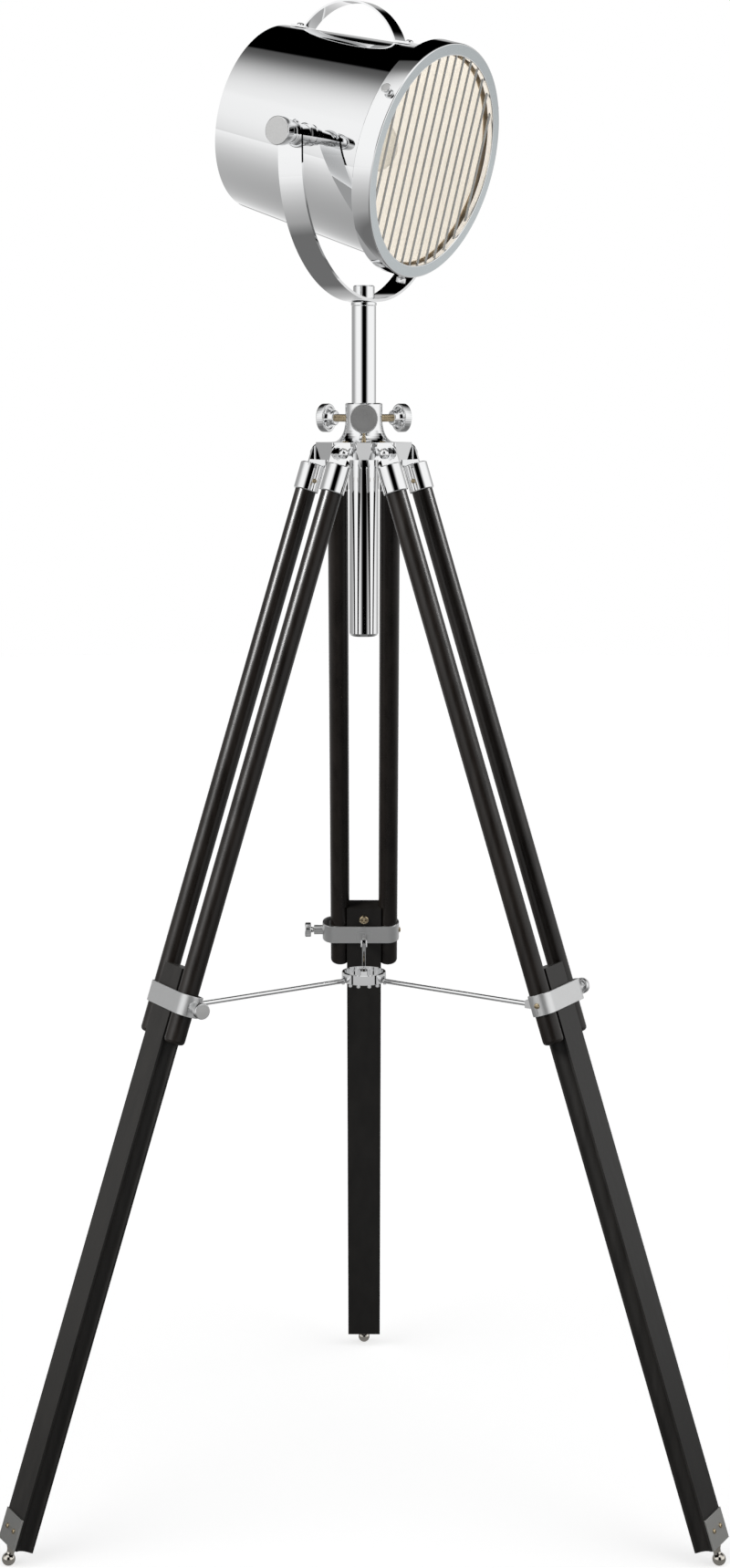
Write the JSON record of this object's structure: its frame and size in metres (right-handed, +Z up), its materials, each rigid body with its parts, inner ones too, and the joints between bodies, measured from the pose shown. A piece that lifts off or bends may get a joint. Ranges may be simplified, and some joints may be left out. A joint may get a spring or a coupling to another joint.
{
  "type": "tripod floor lamp",
  "caption": "Spotlight floor lamp: chrome drum head in a U yoke on a sliding column, on a folding three-leg wooden stand with telescoping bars, clamps and spreader.",
  "frame": {"origin": "on the floor under the column axis, in the plane of the three ball feet", "axes": "+Z up, +Y towards the rear leg, -Y towards the front; the other two legs stand at 210 and 330 degrees from +X"},
  "size_m": [0.7622, 0.6645, 1.6033],
  "materials": {
    "chrome": "mirror polished chrome plate",
    "satin_chrome": "satin chrome plate",
    "steel": "brushed steel plate",
    "nickel": "polished nickel",
    "brass": "zinc-yellow passivated brass screws",
    "dark_wood": "black-brown satin lacquer over turned wood",
    "bar_wood": "flat black lacquer over wood",
    "reflector_cream": "cream enamel",
    "porcelain": "glazed porcelain",
    "clear_glass": "clear",
    "bulb_glass": "clear bulb glass",
    "black_wire": "dark chrome wire",
    "black_plastic": "matte black nylon",
    "rubber_seal": "black silicone"
  },
  "bodies": {
    "root": {"tripod_crown": "chrome", "hinge_bolts": "chrome", "guide_tube": "chrome"},
    "column_knob_1": {"column_knob_1": "chrome"},
    "column_knob_2": {"column_knob_2": "chrome"},
    "column_knob_3": {"column_knob_3": "chrome"},
    "column": {"stem_tube": "chrome", "stem_collar": "chrome"},
    "yoke": {"yoke": "chrome", "yoke_cap": "chrome"},
    "head": {"head_shell": "chrome", "back_plate": "chrome", "cord_gland": "black_plastic", "reflector": "reflector_cream", "lamp_socket": "porcelain", "bulb": "bulb_glass", "carry_handle": "chrome", "handle_screws": "chrome", "pivot_spacers": "chrome"},
    "pivot_knob_left": {"pivot_knob_left": "chrome"},
    "pivot_knob_right": {"pivot_knob_right": "chrome"},
    "bezel": {"bezel_ring": "chrome", "lens_gasket": "rubber_seal", "lens_glass": "clear_glass", "grille": "black_wire"},
    "ring_screw_1": {"ring_screw_1": "chrome"},
    "ring_screw_2": {"ring_screw_2": "chrome"},
    "ring_screw_3": {"ring_screw_3": "chrome"},
    "leg_1": {"leg_1_poles": "dark_wood", "leg_1_ferrules": "chrome", "leg_1_ferrule_screws": "brass", "leg_1_clamp_band": "satin_chrome"},
    "leg_1_clamp_knob": {"leg_1_clamp_knob": "chrome"},
    "leg_1_lower": {"leg_1_bar": "bar_wood", "leg_1_bar_screws": "brass", "leg_1_foot_plate": "steel", "leg_1_ball_foot": "nickel"},
    "leg_1_rod": {"leg_1_rod": "chrome"},
    "leg_2": {"leg_2_poles": "dark_wood", "leg_2_ferrules": "chrome", "leg_2_ferrule_screws": "brass", "leg_2_clamp_band": "satin_chrome"},
    "leg_2_clamp_knob": {"leg_2_clamp_knob": "chrome"},
    "leg_2_lower": {"leg_2_bar": "bar_wood", "leg_2_bar_screws": "brass", "leg_2_foot_plate": "steel", "leg_2_ball_foot": "nickel"},
    "leg_2_rod": {"leg_2_rod": "chrome"},
    "leg_3": {"leg_3_poles": "dark_wood", "leg_3_ferrules": "chrome", "leg_3_ferrule_screws": "brass", "leg_3_clamp_band": "satin_chrome"},
    "leg_3_clamp_knob": {"leg_3_clamp_knob": "chrome"},
    "leg_3_lower": {"leg_3_bar": "bar_wood", "leg_3_bar_screws": "brass", "leg_3_foot_plate": "steel", "leg_3_ball_foot": "nickel"},
    "leg_3_rod": {"leg_3_rod": "chrome"},
    "hub": {"spreader_hub": "chrome"}
  },
  "joints": [
    {"name": "column_slide", "type": "slide", "parent": "root", "child": "column", "axis": [0, 0, 1], "range_m": [-0.085, 0.08]},
    {"name": "head_pan", "type": "hinge", "parent": "column", "child": "yoke", "pos_m": [0, 0, 1.2975], "axis": [0, 0, 1], "range_deg": [-170, 170]},
    {"name": "head_tilt", "type": "hinge", "parent": "yoke", "child": "head", "pos_m": [0, 0, 1.4595], "axis": [0.5299, 0.848, 0], "range_deg": [-52, 9]},
    {"name": "bezel_slide", "type": "slide", "parent": "head", "child": "bezel", "axis": [0.8192, -0.5119, -0.2588], "range_m": [0, 0.05]},
    {"name": "ring_screw_1_turn", "type": "hinge", "parent": "bezel", "child": "ring_screw_1", "pos_m": [0.02538, -0.13329, 1.49434], "axis": [-0.3492, -0.803, 0.483], "range_deg": [0, 540]},
    {"name": "ring_screw_2_turn", "type": "hinge", "parent": "bezel", "child": "ring_screw_2", "pos_m": [0.04029, -0.02518, 1.32771], "axis": [-0.2195, 0.1372, -0.9659], "range_deg": [0, 540]},
    {"name": "ring_screw_3_turn", "type": "hinge", "parent": "bezel", "child": "ring_screw_3", "pos_m": [0.13093, 0.03562, 1.49434], "axis": [0.5687, 0.6659, 0.483], "range_deg": [0, 540]},
    {"name": "pivot_knob_left_turn", "type": "hinge", "parent": "head", "child": "pivot_knob_left", "pos_m": [0.07419, 0.11873, 1.4595], "axis": [0.5299, 0.848, 0], "range_deg": [0, 540]},
    {"name": "pivot_knob_right_turn", "type": "hinge", "parent": "head", "child": "pivot_knob_right", "pos_m": [-0.07419, -0.11873, 1.4595], "axis": [-0.5299, -0.848, 0], "range_deg": [0, 540]},
    {"name": "column_knob_1_turn", "type": "hinge", "parent": "root", "child": "column_knob_1", "pos_m": [0, -0.03, 1.1775], "axis": [0, -1, 0], "range_deg": [0, 540]},
    {"name": "column_knob_2_turn", "type": "hinge", "parent": "root", "child": "column_knob_2", "pos_m": [0.02598, 0.015, 1.1775], "axis": [0.866, 0.5, 0], "range_deg": [0, 540]},
    {"name": "column_knob_3_turn", "type": "hinge", "parent": "root", "child": "column_knob_3", "pos_m": [-0.02598, 0.015, 1.1775], "axis": [-0.866, 0.5, 0], "range_deg": [0, 540]},
    {"name": "leg_1_fold", "type": "hinge", "parent": "root", "child": "leg_1", "pos_m": [0, 0.0415, 1.14166], "axis": [-1, 0, 0], "range_deg": [0, 5]},
    {"name": "leg_2_fold", "type": "hinge", "parent": "root", "child": "leg_2", "pos_m": [-0.03594, -0.02075, 1.14166], "axis": [0.5, -0.866, 0], "range_deg": [0, 5]},
    {"name": "leg_3_fold", "type": "hinge", "parent": "root", "child": "leg_3", "pos_m": [0.03594, -0.02075, 1.14166], "axis": [0.5, 0.866, 0], "range_deg": [0, 5]},
    {"name": "leg_1_clamp_turn", "type": "hinge", "parent": "leg_1", "child": "leg_1_clamp_knob", "pos_m": [0, 0.22934, 0.58026], "axis": [-1, 0, 0], "range_deg": [0, 540]},
    {"name": "leg_1_extend", "type": "slide", "parent": "leg_1", "child": "leg_1_lower", "axis": [0, -0.3173, 0.9483], "range_m": [0, 0.4]},
    {"name": "leg_1_rod_swing", "type": "hinge", "parent": "leg_1", "child": "leg_1_rod", "pos_m": [0, 0.21165, 0.57012], "axis": [-1, 0, 0], "range_deg": [0, 36.39]},
    {"name": "leg_2_clamp_turn", "type": "hinge", "parent": "leg_2", "child": "leg_2_clamp_knob", "pos_m": [-0.19862, -0.11467, 0.58026], "axis": [0.5, -0.866, 0], "range_deg": [0, 540]},
    {"name": "leg_2_extend", "type": "slide", "parent": "leg_2", "child": "leg_2_lower", "axis": [0.2748, 0.1587, 0.9483], "range_m": [0, 0.4]},
    {"name": "leg_2_rod_swing", "type": "hinge", "parent": "leg_2", "child": "leg_2_rod", "pos_m": [-0.18329, -0.10582, 0.57012], "axis": [0.5, -0.866, 0], "range_deg": [0, 36.39]},
    {"name": "leg_3_clamp_turn", "type": "hinge", "parent": "leg_3", "child": "leg_3_clamp_knob", "pos_m": [0.19862, -0.11467, 0.58026], "axis": [0.5, 0.866, 0], "range_deg": [0, 540]},
    {"name": "leg_3_extend", "type": "slide", "parent": "leg_3", "child": "leg_3_lower", "axis": [-0.2748, 0.1587, 0.9483], "range_m": [0, 0.4]},
    {"name": "leg_3_rod_swing", "type": "hinge", "parent": "leg_3", "child": "leg_3_rod", "pos_m": [0.18329, -0.10582, 0.57012], "axis": [0.5, 0.866, 0], "range_deg": [0, 36.39]},
    {"name": "hub_slide", "type": "slide", "parent": "root", "child": "hub", "axis": [0, 0, 1], "range_m": [0, 0.11393]}
  ],
  "couplings": [
    {"joint": "leg_2_fold", "follows": "leg_1_fold", "ratio": 1},
    {"joint": "leg_3_fold", "follows": "leg_1_fold", "ratio": 1},
    {"joint": "leg_1_rod_swing", "follows": "leg_1_fold", "ratio": 7.1787},
    {"joint": "leg_2_rod_swing", "follows": "leg_1_fold", "ratio": 7.1787},
    {"joint": "leg_3_rod_swing", "follows": "leg_1_fold", "ratio": 7.1787},
    {"joint": "hub_slide", "follows": "leg_1_fold", "m_per_rad": 1.294}
  ]
}
